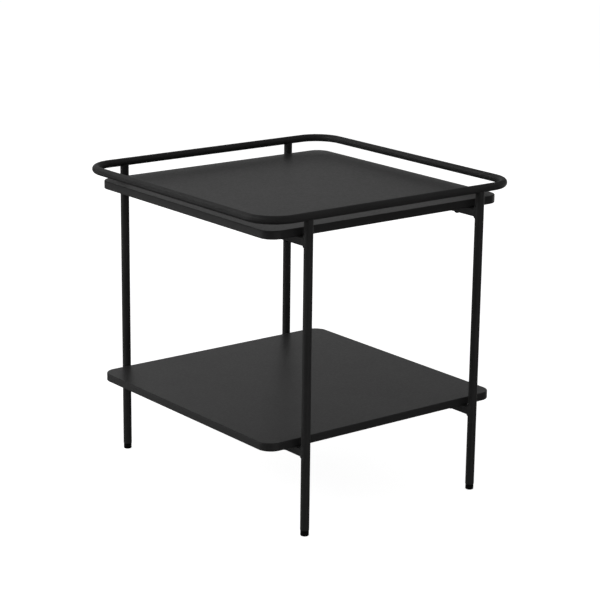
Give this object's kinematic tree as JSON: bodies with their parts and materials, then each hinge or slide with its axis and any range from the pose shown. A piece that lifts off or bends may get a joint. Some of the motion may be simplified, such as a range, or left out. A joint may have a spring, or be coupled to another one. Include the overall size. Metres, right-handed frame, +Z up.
{
  "type": "side table",
  "caption": "Square two-tier side table: slim round-tube frame with a closed guard rail round the top, a lower shelf on crossbars, and levelling feet.",
  "frame": {"origin": "on the floor, at the middle of the table's footprint", "axes": "+Z up; X runs along the two sides where the rail stands on legs (left is -X), and the front is at -Y"},
  "size_m": [0.5, 0.5012, 0.5],
  "materials": {
    "frame_paint": "fine-textured matte black powder coat on steel tube",
    "board_lacquer": "matte charcoal lacquer on fibreboard",
    "foot_plastic": "moulded black nylon",
    "zinc_steel": "bright zinc plate",
    "screw_black": "black oxide"
  },
  "bodies": {
    "frame": {"guard_rail": "frame_paint", "leg_front_left": "frame_paint", "leg_bush_front_left": "zinc_steel", "leg_front_right": "frame_paint", "leg_bush_front_right": "zinc_steel", "leg_rear_left": "frame_paint", "leg_bush_rear_left": "zinc_steel", "leg_rear_right": "frame_paint", "leg_bush_rear_right": "zinc_steel", "table_top": "board_lacquer", "top_inserts": "zinc_steel", "top_screws": "screw_black", "top_crossbar_welds": "frame_paint", "top_crossbar_left": "frame_paint", "top_crossbar_right": "frame_paint", "lower_shelf": "board_lacquer", "shelf_inserts": "zinc_steel", "shelf_screws": "screw_black", "shelf_crossbar_welds": "frame_paint", "shelf_crossbar_left": "frame_paint", "shelf_crossbar_right": "frame_paint"},
    "foot_front_left": {"foot_stud_front_left": "zinc_steel", "foot_glide_front_left": "foot_plastic"},
    "foot_front_right": {"foot_stud_front_right": "zinc_steel", "foot_glide_front_right": "foot_plastic"},
    "foot_rear_left": {"foot_stud_rear_left": "zinc_steel", "foot_glide_rear_left": "foot_plastic"},
    "foot_rear_right": {"foot_stud_rear_right": "zinc_steel", "foot_glide_rear_right": "foot_plastic"}
  },
  "joints": [
    {"name": "foot_front_left_levelling", "type": "slide", "parent": "frame", "child": "foot_front_left", "axis": [0, 0, -1], "range_m": [0, 0.008]},
    {"name": "foot_front_right_levelling", "type": "slide", "parent": "frame", "child": "foot_front_right", "axis": [0, 0, -1], "range_m": [0, 0.008]},
    {"name": "foot_rear_left_levelling", "type": "slide", "parent": "frame", "child": "foot_rear_left", "axis": [0, 0, -1], "range_m": [0, 0.008]},
    {"name": "foot_rear_right_levelling", "type": "slide", "parent": "frame", "child": "foot_rear_right", "axis": [0, 0, -1], "range_m": [0, 0.008]}
  ]
}
